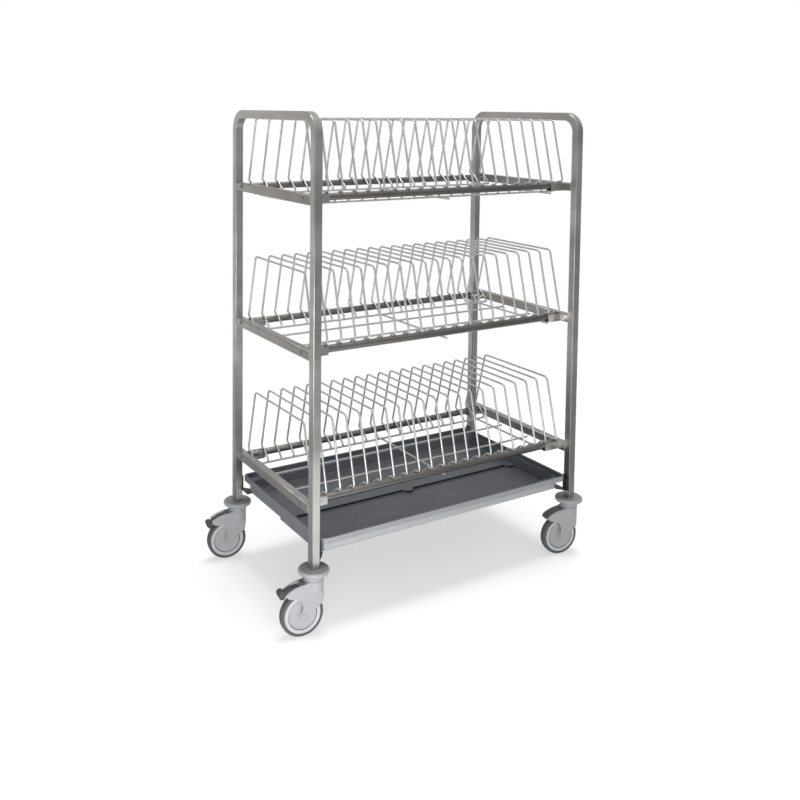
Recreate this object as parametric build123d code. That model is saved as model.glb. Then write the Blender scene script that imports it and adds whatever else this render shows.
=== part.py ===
from build123d import *
import math
import os

# Welded frame: two square-tube hoops joined by end rails, all in millimetres
overall_length = 960.0
overall_depth = 525.0
overall_height = 1410.0
tube_size = 25.0
tube_wall = 1.5
tube_corner_cut = 1.5
hoop_bend_radius = 50.0
post_foot_z = 180.0

# The tops of the rails: the lowest tier, and how far the hoops rise above the highest one
lowest_tier_z = 350.0
hoop_rise = 222.0

# Round rails that carry the racks, and what fixes them to the end rails
rail_diameter = 20.0
rail_wall = 1.5
rail_spacing = 392.0
cradle_length = 53.0
cradle_sheet = 1.5
cradle_web = 5.0
cradle_lip_drop = 1.5
cradle_back_drop = 6.0
cradle_fit = 0.2
bolt_shank = 6.0
bolt_head_diameter = 15.0
bolt_head_height = 4.0
bolt_hole_gap = 0.1
bolt_head_lean = 40.0

# How many flats stand for a circle: the trolley has hundreds of round pieces, so each gets few
wire_sides = 4
bar_sides = 12
disc_sides = 20
bolt_sides = 6

# Wire racks
wire_diameter = 6.0
loop_count = 21
loop_end_gap = 30.0
loop_height = 198.0
loop_top_half = 157.0
loop_heel_half = 207.5
loop_foot_half = 186.0
loop_tail_half = 157.0
loop_tail_drop = 34.0
loop_corner_cut = 7.0
rack_seat_gap = 0.3
support_wire_half = 65.0
cross_wire_half = 178.0
cross_wire_slots = (0, 10, 19)

# Drip tray, moulded with a front half that is lower than the back half
tray_end_gap = 9.0
tray_face_gap = 4.0
tray_floor_z = 207.0
tray_rim_z = 255.0
tray_rim_band = 16.0
tray_end_setback = 5.0
tray_face_setback = 27.0
tray_corner_radius = 25.0
tray_rim_corner_radius = 20.0
tray_lip = 6.0
tray_end_ledge = 8.0
tray_face_ledge = 28.0
tray_ledge_drop = 13.0
tray_wall_lean = 12.0
tray_sheet = 3.0
tray_step_height = 7.0
tray_step_y = -17.0
tray_bump_radius = 17.5
tray_bump_inset = 31.0

# Angle brackets on the posts, under the tray's corners
support_sheet = 3.0
support_reach = 25.0
support_length = 60.0
support_height = 48.0

# Castors
wheel_diameter = 122.0
tyre_width = 26.0
tyre_thickness = 9.0
tyre_shoulder = 6.0
rim_half_width = 11.5
hub_diameter = 26.0
hub_side_gap = 0.3
castor_trail = 35.5
axle_diameter = 10.0
turning_gap = 0.3
axle_end_stand = 1.5
bumper_diameter = 86.0
bumper_rim_height = 11.0
bumper_lip = 2.0
bumper_flare_height = 19.0
bumper_collar_diameter = 54.0
stem_diameter = 12.0
stem_engagement = 25.0
plug_height = 50.0
plug_gap = 0.1

# Moulded fork, from its head down to the axle: places along X are from the stem or the axle
fork_inside = 28.6
fork_wall = 5.0
fork_pocket_gap = 4.0
head_diameter = 53.0
head_skirt_z = 120.0
head_gap = 0.3
shoulder_drop = 31.0
shoulder_in = 7.5
hood_reach = 85.0
hood_tip_lean = 5.0
hood_tip_low_z = 116.0
hood_tip_high_z = 127.0
hood_crown_z = 141.5
hood_root_drop = 2.7
hood_corner_back = 17.0
hood_corner_rise = 47.0
waist_back = 2.0
waist_rise = 29.0
boss_diameter = 22.0
boss_back_angle = -52.0
boss_front_angle = 158.0

# Brake pedals, on the left castors only, with drops from the pivot and reaches past the hood's tip
pedal_width = 22.0
pedal_reach = 104.0
pedal_pivot_x = -50.0
pedal_pivot_z = 134.0
pedal_eye_radius = 5.5
pedal_pin_diameter = 5.0
pedal_pin_inset = 1.0
pedal_crown_rise = 4.0
pedal_crown_back = 19.0
pedal_neck_drop = 5.5
pedal_neck_reach = 1.5
pedal_toe_rise = 2.5
pedal_toe_drop = 3.0
pedal_plate_drop = 21.5
pedal_plate_thickness = 7.0
pedal_root_drop = 12.0
pedal_slot_gap = 0.5
pedal_slot_back = 9.0
pedal_slot_mouth_drop = 16.0
pedal_swing = 13.0

# Places worked out from the sizes above
post_x = (overall_length - tube_size) / 2
post_y = (overall_depth - tube_size) / 2
inner_x = overall_length / 2 - tube_size
inner_y = overall_depth / 2 - tube_size
rail_y = rail_spacing / 2
rail_radius = rail_diameter / 2
wheel_radius = wheel_diameter / 2
half_fork = fork_inside / 2 + fork_wall
head_top_z = post_foot_z - bumper_rim_height - bumper_flare_height - head_gap
highest_tier_z = overall_height - hoop_rise
tier_heights = {
    "lower": lowest_tier_z,
    "middle": (lowest_tier_z + highest_tier_z) / 2,
    "upper": highest_tier_z,
}
loop_half_run = overall_length / 2 - loop_end_gap
loop_pitch = 2 * loop_half_run / (loop_count - 1)
tray_length = 2 * inner_x - 2 * tray_end_gap
tray_depth = overall_depth - 2 * tray_face_gap
cut_past = tray_sheet

# The flat sides of a wire stand off its middle so that its section has the area of the round wire
wire_flat = wire_diameter / 2 * math.sqrt(math.pi / (wire_sides * math.tan(math.pi / wire_sides)))
bumper_foot_z = post_foot_z - bumper_rim_height - bumper_flare_height

# Where each castor stands, and how far it is turned from trailing straight towards -X, in degrees
castors = {
    "front_left": (-1, -1, -7.0),
    "front_right": (1, -1, -11.0),
    "rear_left": (-1, 1, -10.0),
    "rear_right": (1, 1, -6.0),
}

# How far each brake pedal is pressed down: the rear one is on, the front one off
pedal_presses = {"front_left": 0.0, "rear_left": pedal_swing}


def pedal_reach_turned(turn):
    """How far towards -X a pedal's corner reaches once its castor is turned."""
    angle = math.radians(abs(turn))
    return pedal_reach * math.cos(angle) + pedal_width / 2 * math.sin(angle)


# The left castors trail outwards, so the middle of the plan lies left of the frame's middle
left_reach = max(pedal_reach_turned(turn) for side_x, side_y, turn in castors.values() if side_x < 0)
plan_shift = (left_reach - bumper_diameter / 2) / 2


def round_outline(radius, sides):
    """A circle drawn with flats, one of them facing each way along the axes."""
    return RegularPolygon(radius, sides, major_radius=False, rotation=180 / sides)


def tube_section(plane):
    """Square tube seen end on: outside with its corners taken off, and the bore."""
    outside = chamfer(Rectangle(tube_size, tube_size).vertices(), tube_corner_cut)
    bore = Rectangle(tube_size - 2 * tube_wall, tube_size - 2 * tube_wall)
    return plane * (outside - bore)


def hoop(side):
    """An upside-down U of square tube: a post at the front, one at the back, and the bent top between."""
    top_z = overall_height - tube_size / 2
    path = FilletPolyline(
        (side * post_x, -post_y, post_foot_z),
        (side * post_x, -post_y, top_z),
        (side * post_x, post_y, top_z),
        (side * post_x, post_y, post_foot_z),
        radius=hoop_bend_radius,
    )
    section = tube_section(Plane(origin=path @ 0, x_dir=(1, 0, 0), z_dir=(0, 0, 1)))
    return sweep(section, path=path)


def end_rail(side, top_z):
    """Square tube welded between the two posts of a hoop, with a square hole for each coach bolt."""
    start = Plane(origin=(side * post_x, -inner_y, top_z - tube_size / 2), x_dir=(1, 0, 0), z_dir=(0, 1, 0))
    rail = extrude(tube_section(start), 2 * inner_y)
    hole_size = bolt_shank + 2 * bolt_hole_gap
    hole = Box(2 * tube_size, hole_size, hole_size)
    for y in (-rail_y, rail_y):
        rail -= Pos(side * post_x, y, top_z - rail_radius) * hole
    return rail


def long_rail(y, top_z):
    """Round tube between the webs of its two cradles."""
    half = inner_x - cradle_web
    plane = Plane(origin=(-half, y, top_z - rail_radius), z_dir=(1, 0, 0))
    bore = round_outline(rail_radius - rail_wall, bar_sides)
    return extrude(plane * (round_outline(rail_radius, bar_sides) - bore), 2 * half)


def rail_cradle(side, y, top_z):
    """Folded channel that holds a rail's end, open at the top, with a thick web for the bolt."""
    half_in = rail_radius + cradle_fit
    half_out = half_in + cradle_sheet
    floor_z = top_z - tube_size
    start_x = inner_x - cradle_length

    def block(x0, x1, y0, y1, z0, z1):
        size = (x1 - x0, y1 - y0, z1 - z0)
        middle = ((x0 + x1) / 2, (y0 + y1) / 2, (z0 + z1) / 2)
        return Pos(*middle) * Box(*size)

    web = block(inner_x - cradle_web, inner_x, -half_out, half_out, floor_z, top_z - cradle_back_drop)
    floor = block(start_x, inner_x, -half_out, half_out, floor_z, floor_z + cradle_sheet)
    outer_wall = block(start_x, inner_x, half_in, half_out, floor_z, top_z - cradle_lip_drop)
    inner_wall = block(start_x, inner_x, -half_out, -half_in, floor_z, top_z - cradle_back_drop)
    cradle = web + floor + outer_wall + inner_wall
    hole_size = bolt_shank + 2 * bolt_hole_gap
    cradle -= Pos(inner_x, 0, top_z - rail_radius) * Box(4 * cradle_web, hole_size, hole_size)
    if y < 0:
        cradle = mirror(cradle, about=Plane.XZ)
    if side < 0:
        cradle = mirror(cradle, about=Plane.YZ)
    return Pos(0, y, 0) * cradle


def rail_bolt(side, y, top_z):
    """Coach bolt: low domed head outside the end rail, square shank through it into the cradle's web."""
    plane = Plane(origin=(side * overall_length / 2, y, top_z - rail_radius), z_dir=(side, 0, 0))
    head_outline = round_outline(bolt_head_diameter / 2, bolt_sides)
    head = extrude(plane * head_outline, bolt_head_height, taper=bolt_head_lean)
    shank = extrude(plane * Rectangle(bolt_shank, bolt_shank), -(tube_size + cradle_web))
    return head + shank


def wire_along(*points):
    """A wire with mitred bends through the given points; its flats face up and down."""
    path = Polyline(*points)
    section_plane = Plane(origin=path @ 0, x_dir=(1, 0, 0), z_dir=path % 0)
    section = section_plane * round_outline(wire_flat, wire_sides)
    return sweep(section, path=path, transition=Transition.RIGHT)


def rack_loop():
    """One wire of a rack: tail, foot over the rail, leaning leg and top bar, alike on both sides."""
    foot_z = wire_flat + rack_seat_gap
    lean = math.atan2(loop_heel_half - loop_top_half, loop_height - foot_z)
    cut_out = loop_corner_cut * math.sin(lean)
    cut_down = loop_corner_cut * math.cos(lean)
    side = [
        (loop_tail_half, -loop_tail_drop),
        (loop_foot_half, foot_z),
        (loop_heel_half, foot_z),
        (loop_top_half + cut_out, loop_height - cut_down),
        (loop_top_half - loop_corner_cut, loop_height),
    ]
    outline = [(0, -y, z) for y, z in side] + [(0, y, z) for y, z in reversed(side)]
    return wire_along(*outline)


def straight_wire(start, end):
    """A straight level wire between two points."""
    along = Vector(*end) - Vector(*start)
    plane = Plane(origin=start, x_dir=(0, 0, 1), z_dir=along)
    return extrude(plane * round_outline(wire_flat, wire_sides), along.length)


def rack_parts():
    """The loops, the long wires and the cross wires of one rack, with the rails' top at z = 0."""
    loop = rack_loop()
    loops = [Pos(loop_pitch * i - loop_half_run, 0, 0) * loop for i in range(loop_count)]
    rise = math.atan2(wire_flat + rack_seat_gap + loop_tail_drop, loop_foot_half - loop_tail_half)
    long_z = -loop_tail_drop - wire_flat * (1 + math.cos(rise))
    run_half = loop_half_run + wire_flat
    long_wires = [
        straight_wire((-run_half, y, long_z), (run_half, y, long_z))
        for y in (-loop_tail_half, -support_wire_half, support_wire_half, loop_tail_half)
    ]
    cross_z = long_z - 2 * wire_flat
    cross_places = [loop_pitch * (slot + 0.5) - loop_half_run for slot in cross_wire_slots]
    cross_wires = [
        straight_wire((x, -cross_wire_half, cross_z), (x, cross_wire_half, cross_z)) for x in cross_places
    ]
    return {"loops": loops, "long_wires": long_wires, "cross_wires": cross_wires}


def rounded_block(length, depth, radius, z0, z1, taper=0.0):
    """A rounded rectangle drawn at z0 and raised or lowered to z1."""
    return extrude(Plane.XY.offset(z0) * RectangleRounded(length, depth, radius), z1 - z0, taper=taper)


def drip_tray():
    """Moulded tray: overhanging rim band, set-back base, inner ledge, leaning walls and stepped floor."""
    band_z = tray_rim_z - tray_rim_band
    base_length = tray_length - 2 * tray_end_setback
    base_depth = tray_depth - 2 * tray_face_setback
    tray = rounded_block(tray_length, tray_depth, tray_rim_corner_radius, band_z, tray_rim_z)
    tray += rounded_block(base_length, base_depth, tray_corner_radius, tray_floor_z, band_z)
    ledge_z = tray_rim_z - tray_ledge_drop
    mouth = (tray_length - 2 * tray_lip, tray_depth - 2 * tray_lip)
    tray -= rounded_block(*mouth, tray_rim_corner_radius - tray_lip / 2, ledge_z, tray_rim_z + cut_past)
    low_floor = tray_floor_z + tray_sheet
    high_floor = low_floor + tray_step_height
    well = (mouth[0] - 2 * tray_end_ledge, mouth[1] - 2 * tray_face_ledge)
    tray -= rounded_block(*well, tray_corner_radius, ledge_z, high_floor, taper=tray_wall_lean)
    foot_slope = math.tan(math.radians(tray_wall_lean)) * (ledge_z - high_floor)
    sink = (well[0] - 2 * foot_slope, well[1] - 2 * foot_slope)
    sink_front = -sink[1] / 2
    sink_block = rounded_block(*sink, tray_corner_radius - foot_slope, high_floor, low_floor)
    forward = (Align.CENTER, Align.MIN, Align.CENTER)
    behind_step = Box(2 * tray_length, tray_depth, 4 * tray_rim_z, align=forward)
    sink_block -= Pos(0, tray_step_y, 0) * behind_step
    bump = extrude(round_outline(tray_bump_radius, bar_sides), tray_step_height)
    bump_x = tray_length / 2 - tray_bump_inset
    for x in (-bump_x, 0, bump_x):
        sink_block -= Pos(x, tray_step_y, low_floor) * bump
    tray -= sink_block
    under_back = Box(2 * tray_length, tray_depth, 2 * tray_step_height, align=forward)
    tray -= Pos(0, tray_step_y + tray_sheet + tray_bump_radius, tray_floor_z) * under_back
    return tray


def tray_support(side_x, side_y):
    """Small angle bracket bolted to a post's inner face, its shelf under the tray's corner."""
    shelf_top = tray_floor_z if side_y < 0 else tray_floor_z + tray_step_height
    outer_y = overall_depth / 2
    upward = (Align.MAX, Align.MAX, Align.MIN)
    leg = Box(support_sheet, tube_size, support_height, align=upward)
    shelf = Box(support_reach, support_length, support_sheet, align=upward)
    support = Pos(inner_x, outer_y, shelf_top - support_sheet) * (leg + shelf)
    if side_y < 0:
        support = mirror(support, about=Plane.XZ)
    if side_x < 0:
        support = mirror(support, about=Plane.YZ)
    return support


def castor_stem():
    """Square plug inside the post, and the round stem below it that the fork turns on."""
    plug_size = tube_size - 2 * tube_wall - 2 * plug_gap
    foot_plane = Plane.XY.offset(post_foot_z)
    plug = extrude(foot_plane * Rectangle(plug_size, plug_size), plug_height)
    stem_length = bumper_rim_height + bumper_flare_height + stem_engagement
    return plug + extrude(foot_plane * round_outline(stem_diameter / 2, bar_sides), -stem_length)


def tapered_disc(plane, base_radius, far_radius, height):
    """A disc with sloping sides, from the plane to so far along its normal."""
    base = plane * round_outline(base_radius, disc_sides)
    return loft([base, plane.offset(height) * round_outline(far_radius, disc_sides)], ruled=True)


def castor_bumper():
    """Round bumper on top of the fork: a thick disc, flaring in to a collar below."""
    disc_z = post_foot_z - bumper_rim_height
    rim = round_outline(bumper_diameter / 2, disc_sides)
    bumper = extrude(Plane.XY.offset(disc_z) * rim, bumper_rim_height)
    flare_radius = bumper_diameter / 2 - bumper_lip
    collar_radius = bumper_collar_diameter / 2
    disc_plane = Plane.XY.offset(disc_z)
    bumper += tapered_disc(disc_plane, flare_radius, collar_radius, -bumper_flare_height)
    hole = round_outline(stem_diameter / 2, bar_sides)
    return bumper - extrude(Plane.XY.offset(bumper_foot_z) * hole, post_foot_z - bumper_foot_z)


def wheel_plane():
    """The plane through the middle of the wheel, with its origin on the axle."""
    return Plane(origin=(-castor_trail, 0, wheel_radius), x_dir=(1, 0, 0), z_dir=(0, 1, 0))


def wheel_disc(radius, sides, half_width):
    """A round disc about the axle, half of it on each side of the wheel's middle."""
    return extrude(wheel_plane() * round_outline(radius, sides), half_width, both=True)


def castor_tyre():
    """Grey tyre round the rim, with its shoulders taken off at a slant."""
    tread_half = tyre_width / 2 - tyre_shoulder
    tread_edge = wheel_plane().offset(tread_half)
    shoulder = tapered_disc(tread_edge, wheel_radius, wheel_radius - tyre_shoulder, tyre_shoulder)
    tyre = wheel_disc(wheel_radius, disc_sides, tread_half) + shoulder + mirror(shoulder, about=Plane.XZ)
    return tyre - wheel_disc(wheel_radius - tyre_thickness, disc_sides, tyre_width)


def castor_wheel():
    """Moulded wheel centre: rim, closed side discs and a hub that is bored for the axle."""
    wheel = wheel_disc(wheel_radius - tyre_thickness, disc_sides, rim_half_width)
    wheel += wheel_disc(hub_diameter / 2, bar_sides, fork_inside / 2 - hub_side_gap)
    return wheel - wheel_disc(axle_diameter / 2 + turning_gap, bar_sides, tyre_width)


def fork_outline():
    """Side view of the moulded fork: head, hood over the wheel, S-shaped leading edge and axle boss."""
    head = head_diameter / 2
    boss = boss_diameter / 2
    axle = Vector(-castor_trail, wheel_radius)
    back_point = axle + Vector(boss, 0).rotate(Axis.Z, boss_back_angle)
    front_point = axle + Vector(boss, 0).rotate(Axis.Z, boss_front_angle)
    waist = axle + Vector(-waist_back, waist_rise)
    hood_corner = axle + Vector(-hood_corner_back, hood_corner_rise)
    shoulder = (head - shoulder_in / 3, head_skirt_z - shoulder_drop / 2)
    shoulder_foot = (head - shoulder_in, head_skirt_z - shoulder_drop)
    hood_tip_low = (hood_tip_lean - hood_reach, hood_tip_low_z)
    hood_tip_high = (-hood_reach, hood_tip_high_z)
    hood_crown = (-(hood_reach + head) / 2, hood_crown_z)
    hood_root_z = head_top_z - hood_root_drop
    with BuildSketch(Plane.XZ) as outline:
        with BuildLine():
            Line((-head, hood_root_z), (-head, head_top_z))
            Line((-head, head_top_z), (head, head_top_z))
            Line((head, head_top_z), (head, head_skirt_z))
            ThreePointArc((head, head_skirt_z), shoulder, shoulder_foot)
            Line(shoulder_foot, back_point)
            Line(back_point, axle)
            Line(axle, front_point)
            ThreePointArc(front_point, waist, hood_corner)
            Line(hood_corner, hood_tip_low)
            Line(hood_tip_low, hood_tip_high)
            ThreePointArc(hood_tip_high, hood_crown, (-head, hood_root_z))
        make_face()
    return outline.sketch


def castor_fork(with_pedal):
    """Moulded fork: the side view at full width, rounded in plan at the head, and the wheel's pocket."""
    fork = extrude(fork_outline(), half_fork, both=True)
    fork += wheel_disc(boss_diameter / 2, bar_sides, half_fork)
    head = round_outline(head_diameter / 2, disc_sides)
    plan = head + Rectangle(hood_reach, 2 * half_fork, align=(Align.MAX, Align.CENTER))
    fork &= extrude(Plane.XY * plan, head_top_z)
    head_plane = Plane.XY.offset(head_top_z)
    fork += extrude(head_plane * head, head_skirt_z - head_top_z)
    fork -= wheel_disc(wheel_radius + fork_pocket_gap, disc_sides, fork_inside / 2)
    fork -= wheel_disc(axle_diameter / 2, bar_sides, 2 * half_fork)
    stem_hole = round_outline(stem_diameter / 2 + turning_gap, bar_sides)
    fork -= extrude(head_plane * stem_hole, -stem_engagement - turning_gap)
    if with_pedal:
        fork -= pedal_slot()
        pin = round_outline(pedal_pin_diameter / 2, bar_sides)
        fork += extrude(pedal_pin_plane() * pin, half_fork - pedal_pin_inset, both=True)
    return fork


def pedal_pin_plane():
    """The plane across the middle of the pedal's pin."""
    return Plane(origin=(pedal_pivot_x, 0, pedal_pivot_z), x_dir=(1, 0, 0), z_dir=(0, 1, 0))


def pedal_slot():
    """The slot through the hood's roof for its pedal, from behind the pivot to the hood's tip."""
    back_x = pedal_pivot_x + pedal_slot_back
    mouth_z = hood_tip_low_z - pedal_slot_mouth_drop
    size = (back_x + pedal_reach, pedal_width + 2 * pedal_slot_gap, post_foot_z - mouth_z)
    return Pos(back_x, 0, mouth_z) * Box(*size, align=(Align.MAX, Align.CENTER, Align.MIN))


def castor_axle():
    """Axle through both cheeks and the hub."""
    return wheel_disc(axle_diameter / 2, bar_sides, half_fork + axle_end_stand)


def brake_pedal(press):
    """Foot pedal, pressed down by so many degrees: an eye on its pin, an arched arm and a foot plate."""
    eye = pedal_eye_radius
    plate_foot_z = pedal_pivot_z - pedal_plate_drop
    plate_front_x = -hood_reach - pedal_pin_inset - pedal_plate_thickness
    outline = Polyline(
        (pedal_pivot_x, pedal_pivot_z + eye),
        (pedal_crown_back - hood_reach, pedal_pivot_z + pedal_crown_rise),
        (-pedal_neck_reach - hood_reach, pedal_pivot_z - pedal_neck_drop),
        (pedal_toe_rise - pedal_reach, pedal_pivot_z + pedal_toe_rise),
        (-pedal_reach, pedal_pivot_z - pedal_toe_drop),
        (plate_front_x, plate_foot_z),
        (plate_front_x + pedal_plate_thickness, plate_foot_z),
        (plate_front_x + pedal_plate_thickness + pedal_toe_rise, pedal_pivot_z - pedal_root_drop),
        (pedal_pivot_x - eye, pedal_pivot_z - eye),
        (pedal_pivot_x, pedal_pivot_z - eye),
        close=True,
    )
    pedal = extrude(make_face(Plane.XZ * outline), pedal_width / 2, both=True)
    pedal += extrude(pedal_pin_plane() * round_outline(eye, bar_sides), pedal_width / 2, both=True)
    pin_hole = round_outline(pedal_pin_diameter / 2 + turning_gap, bar_sides)
    pedal -= extrude(pedal_pin_plane() * pin_hole, pedal_width, both=True)
    return pedal.rotate(Axis((pedal_pivot_x, 0, pedal_pivot_z), (0, -1, 0)), press)


def write(name, solids):
    """Shift the plan so that its middle is the origin, and write one node."""
    placed = [Pos(plan_shift, 0, 0) * solid for solid in solids]
    export_step(Compound(children=placed) if len(placed) > 1 else placed[0], f"parts/{name}.step")


os.makedirs("parts", exist_ok=True)

sides = {"left": -1, "right": 1}
faces = {"front": -1, "rear": 1}

for side_name, side in sides.items():
    write(f"{side_name}_hoop", [hoop(side)])
    for tier, top_z in tier_heights.items():
        write(f"{side_name}_end_rail_{tier}", [end_rail(side, top_z)])

for face_name, face in faces.items():
    for tier, top_z in tier_heights.items():
        write(f"{face_name}_rail_{tier}", [long_rail(face * rail_y, top_z)])

rail_ends = [
    (side, face * rail_y, top_z) for side in (-1, 1) for face in (-1, 1) for top_z in tier_heights.values()
]
write("rail_cradles", [rail_cradle(*place) for place in rail_ends])
write("rail_bolts", [rail_bolt(*place) for place in rail_ends])

rack = rack_parts()
for tier, top_z in tier_heights.items():
    for wires, solids in rack.items():
        write(f"{tier}_rack_{wires}", [Pos(0, 0, top_z) * solid for solid in solids])

write("drip_tray", [drip_tray()])
write("tray_supports", [tray_support(side, face) for side in (-1, 1) for face in (-1, 1)])

stem = castor_stem()
bumper = castor_bumper()
post_places = [Pos(side_x * post_x, side_y * post_y, 0) for side_x, side_y, turn in castors.values()]
write("castor_stems", [place * stem for place in post_places])
write("castor_bumpers", [place * bumper for place in post_places])

for castor_name, (side_x, side_y, turn) in castors.items():
    place = Pos(side_x * post_x, side_y * post_y, 0) * Rot(0, 0, turn)
    has_pedal = castor_name in pedal_presses
    write(f"{castor_name}_castor_fork", [place * castor_fork(has_pedal)])
    write(f"{castor_name}_castor_axle", [place * castor_axle()])
    write(f"{castor_name}_castor_wheel", [place * castor_wheel()])
    write(f"{castor_name}_castor_tyre", [place * castor_tyre()])
    if has_pedal:
        write(f"{castor_name}_brake_pedal", [place * brake_pedal(pedal_presses[castor_name])])
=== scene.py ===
import math

import bmesh
import bpy
from mathutils import Matrix, Vector


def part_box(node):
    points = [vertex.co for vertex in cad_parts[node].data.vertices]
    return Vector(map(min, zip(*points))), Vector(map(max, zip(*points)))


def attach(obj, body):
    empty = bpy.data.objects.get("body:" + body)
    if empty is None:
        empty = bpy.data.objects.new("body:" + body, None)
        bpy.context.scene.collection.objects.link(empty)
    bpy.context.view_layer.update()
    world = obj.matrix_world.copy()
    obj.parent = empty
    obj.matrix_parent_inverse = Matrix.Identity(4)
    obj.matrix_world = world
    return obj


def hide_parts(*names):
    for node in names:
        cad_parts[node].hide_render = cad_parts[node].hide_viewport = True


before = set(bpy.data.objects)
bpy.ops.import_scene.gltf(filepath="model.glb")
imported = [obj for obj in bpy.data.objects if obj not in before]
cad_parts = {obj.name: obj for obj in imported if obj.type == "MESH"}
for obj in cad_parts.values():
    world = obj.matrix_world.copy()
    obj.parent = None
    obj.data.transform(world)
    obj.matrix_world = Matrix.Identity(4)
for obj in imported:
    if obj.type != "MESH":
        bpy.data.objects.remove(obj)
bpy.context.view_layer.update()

# Hoops. Two upside-down U's of square stainless tube, each bent at both top corners.
# One hoop is a front post, a back post and the bar between them, in a single length of tube.
tube_size = 0.025
tube_corner = 0.0026
hoop_bend = 0.050
hoop_bend_steps = 20
steel_colour = (0.56, 0.545, 0.52)


def rounded_square(size, radius, steps=5):
    """Outline of a square tube's outside, as (across, up) points."""
    outline = []
    inner = size / 2 - radius
    for quarter, (side, up) in enumerate(((1, 1), (-1, 1), (-1, -1), (1, -1))):
        for step in range(steps + 1):
            angle = math.pi / 2 * (quarter + step / steps)
            outline.append((side * inner + radius * math.cos(angle), up * inner + radius * math.sin(angle)))
    return outline


def bent_line(corners, radius, steps):
    """Points along straight runs whose inner corners are rounded to the radius."""
    points = [corners[0]]
    for before, corner, after in zip(corners, corners[1:], corners[2:]):
        back = (before - corner).normalized()
        ahead = (after - corner).normalized()
        half = back.angle(ahead) / 2
        start = corner + back * radius / math.tan(half)
        centre = corner + (back + ahead).normalized() * radius / math.sin(half)
        spoke = start - centre
        axis = spoke.cross(-back).normalized()
        for step in range(steps + 1):
            turn = (math.pi - 2 * half) * step / steps
            points.append(centre + Matrix.Rotation(turn, 3, axis) @ spoke)
    points.append(corners[-1])
    return points


def mesh_of(name, bm):
    """A mesh with its faces turned outwards, from a bmesh that is then freed."""
    bmesh.ops.recalc_face_normals(bm, faces=bm.faces)
    mesh = bpy.data.meshes.new(name)
    bm.to_mesh(mesh)
    bm.free()
    return mesh


def swept(name, points, outline, across):
    """The outline carried along the points, with girth and length in metres as its UV map."""
    bm = bmesh.new()
    uv = bm.loops.layers.uv.new("girth and length")
    count = len(outline)
    girth = [0.0]
    for here, there in zip(outline, outline[1:] + outline[:1]):
        girth.append(girth[-1] + math.dist(here, there))
    length = [0.0]
    for here, there in zip(points, points[1:]):
        length.append(length[-1] + (there - here).length)
    rings = []
    for i, point in enumerate(points):
        onward = points[min(i + 1, len(points) - 1)] - points[max(i - 1, 0)]
        up = onward.normalized().cross(across)
        rings.append([bm.verts.new(point + across * a + up * b) for a, b in outline])
    for i in range(len(points) - 1):
        for k in range(count):
            j = (k + 1) % count
            face = bm.faces.new((rings[i][k], rings[i][j], rings[i + 1][j], rings[i + 1][k]))
            for loop, at in zip(face.loops, ((k, i), (k + 1, i), (k + 1, i + 1), (k, i + 1))):
                loop[uv].uv = (girth[at[0]], length[at[1]])
    bm.faces.new(rings[0])
    bm.faces.new(rings[-1])
    return mesh_of(name, bm)


def evaluated(piece):
    """The object's mesh with its modifiers applied; the object and its own mesh are removed."""
    own_mesh = piece.data
    result = bpy.data.meshes.new_from_object(piece.evaluated_get(bpy.context.evaluated_depsgraph_get()))
    bpy.data.objects.remove(piece)
    bpy.data.meshes.remove(own_mesh)
    return result


def placed_object(name, data):
    """A new object in the scene, at the origin."""
    piece = bpy.data.objects.new(name, data)
    bpy.context.scene.collection.objects.link(piece)
    return piece


def finished(mesh, *modifiers):
    """The mesh with modifiers applied and smooth shading that keeps its flats flat."""
    piece = placed_object("in_work", mesh)
    mesh.shade_smooth()
    for kind, settings in (*modifiers, ("WEIGHTED_NORMAL", {"keep_sharp": True, "weight": 80})):
        modifier = piece.modifiers.new(kind.lower(), kind)
        for setting, value in settings.items():
            setattr(modifier, setting, value)
    return evaluated(piece)


def shown(name, mesh, material, body, slot, *nodes):
    """One finished piece: made of the material, riding on its body, in place of its CAD nodes."""
    mesh.name = name
    mesh.materials.clear()
    mesh.materials.append(material)
    piece = placed_object(name, mesh)
    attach(piece, body)
    if nodes:
        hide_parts(*nodes)
    return piece


def node_group(group_kind, name, inputs, outputs):
    """An empty node group. A socket is given by its kind, or by the default of a float."""
    tree = bpy.data.node_groups.new(name, group_kind)
    for way, sockets in (("INPUT", inputs), ("OUTPUT", outputs)):
        for label, what in sockets.items():
            has_default = isinstance(what, float)
            kind = "NodeSocketFloat" if has_default else f"NodeSocket{what}"
            socket = tree.interface.new_socket(label, in_out=way, socket_type=kind)
            if has_default:
                socket.default_value = what
    return tree, tree.nodes.new("NodeGroupInput").outputs, tree.nodes.new("NodeGroupOutput")


def wire_into(tree, node, inputs):
    """The node's inputs given a value, or linked to a socket or to another node's first output."""
    for socket, value in inputs.items():
        if isinstance(value, bpy.types.Node):
            value = value.outputs[0]
        if isinstance(value, bpy.types.NodeSocket):
            tree.links.new(value, node.inputs[socket])
        else:
            node.inputs[socket].default_value = value


def wired(tree, kind, inputs=None, **settings):
    """A new node in the tree, with its settings made and its inputs given or linked."""
    node = tree.nodes.new(kind)
    for setting, value in settings.items():
        setattr(node, setting, value)
    wire_into(tree, node, inputs or {})
    return node


def computed(tree, operation, *values):
    """A Math node."""
    return wired(tree, "ShaderNodeMath", dict(enumerate(values)), operation=operation)


def measured(tree, operation, *vectors):
    """A Vector Math node's number."""
    vectors = dict(enumerate(vectors))
    return wired(tree, "ShaderNodeVectorMath", vectors, operation=operation).outputs["Value"]


def graded(tree, value, start, end, to=(0.0, 1.0)):
    """The value's way from start to end, as a value between the two of to."""
    limits = {"From Min": start, "From Max": end, "To Min": to[0], "To Max": to[1]}
    return wired(tree, "ShaderNodeMapRange", {"Value": value, **limits})


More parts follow.
